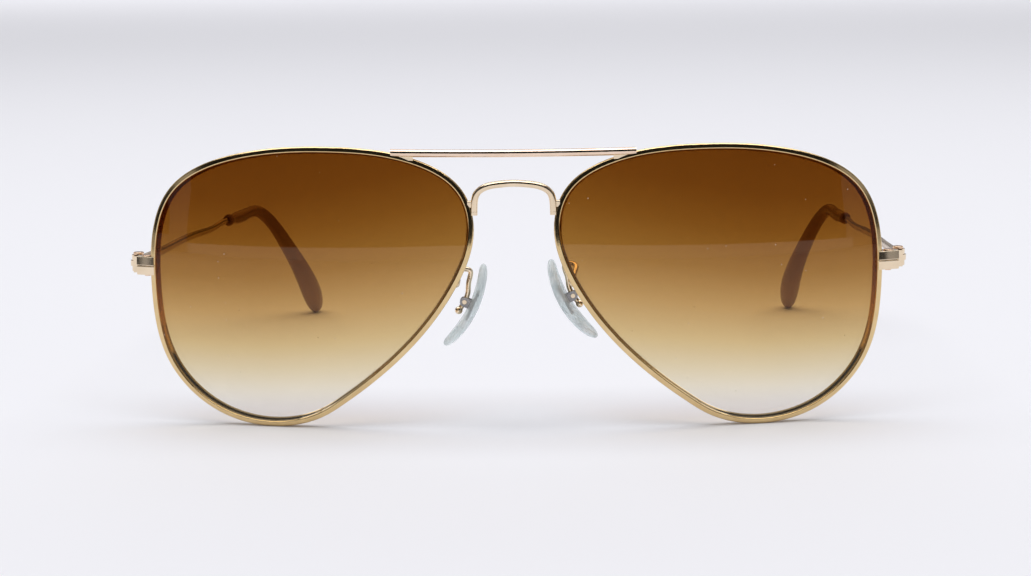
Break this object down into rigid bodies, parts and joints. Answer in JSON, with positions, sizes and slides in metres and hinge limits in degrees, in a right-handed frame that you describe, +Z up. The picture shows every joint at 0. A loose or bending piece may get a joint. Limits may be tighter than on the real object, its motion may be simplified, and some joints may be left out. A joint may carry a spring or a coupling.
{
  "type": "aviator sunglasses",
  "caption": "Wire-rimmed aviator sunglasses: teardrop gradient lenses, bridge and brow bar, rocking silicone nose pads, and folding temples with curved tips.",
  "frame": {"origin": "middle of the bounding box, on the surface the sunglasses stand on with the temples open", "axes": "+X along the front to the right as seen from in front, +Y back towards the temple tips, +Z up. Names ending in _left are on the -X side."},
  "size_m": [0.1428, 0.1244, 0.0514],
  "materials": {
    "frame_gold": "polished",
    "screw_gold": "polished",
    "lens_gradient": "polished",
    "tip_acetate": "polished",
    "pad_silicone": "satin",
    "pad_metal": "satin"
  },
  "bodies": {
    "front": {"rim_left": "frame_gold", "rim_right": "frame_gold", "bridge": "frame_gold", "brow_bar": "frame_gold", "brow_bar_saddle_left": "frame_gold", "brow_bar_saddle_right": "frame_gold", "rim_lock_upper_left": "frame_gold", "rim_lock_upper_right": "frame_gold", "rim_lock_lower_left": "frame_gold", "rim_lock_lower_right": "frame_gold", "hinge_front_left": "frame_gold", "hinge_front_right": "frame_gold", "pad_arm_left": "frame_gold", "pad_arm_right": "frame_gold", "rim_lock_screw_left": "screw_gold", "rim_lock_screw_right": "screw_gold", "hinge_screw_left": "screw_gold", "hinge_screw_right": "screw_gold", "lens_left": "lens_gradient", "lens_right": "lens_gradient"},
    "temple_left": {"hinge_temple_left": "frame_gold", "temple_arm_left": "frame_gold", "temple_tip_left": "tip_acetate"},
    "nose_pad_left_body": {"nose_pad_left": "pad_silicone", "pad_insert_left": "pad_metal"},
    "temple_right": {"hinge_temple_right": "frame_gold", "temple_arm_right": "frame_gold", "temple_tip_right": "tip_acetate"},
    "nose_pad_right_body": {"nose_pad_right": "pad_silicone", "pad_insert_right": "pad_metal"}
  },
  "joints": [
    {"name": "temple_left_fold", "type": "hinge", "parent": "front", "child": "temple_left", "pos_m": [-0.06967, -0.0499, 0.0294], "axis": [0, 0, -1], "range_deg": [-4, 80]},
    {"name": "temple_right_fold", "type": "hinge", "parent": "front", "child": "temple_right", "pos_m": [0.07012, -0.0499, 0.0294], "axis": [0, 0, 1], "range_deg": [0, 79]},
    {"name": "pad_left_rock", "type": "hinge", "parent": "front", "child": "nose_pad_left_body", "pos_m": [-0.00928, -0.05451, 0.0224], "axis": [-0.0317, 0.998, -0.0551], "range_deg": [-8, 8]},
    {"name": "pad_right_rock", "type": "hinge", "parent": "front", "child": "nose_pad_right_body", "pos_m": [0.01056, -0.0545, 0.02342], "axis": [0.0306, 0.9981, -0.0529], "range_deg": [-8, 8]}
  ]
}
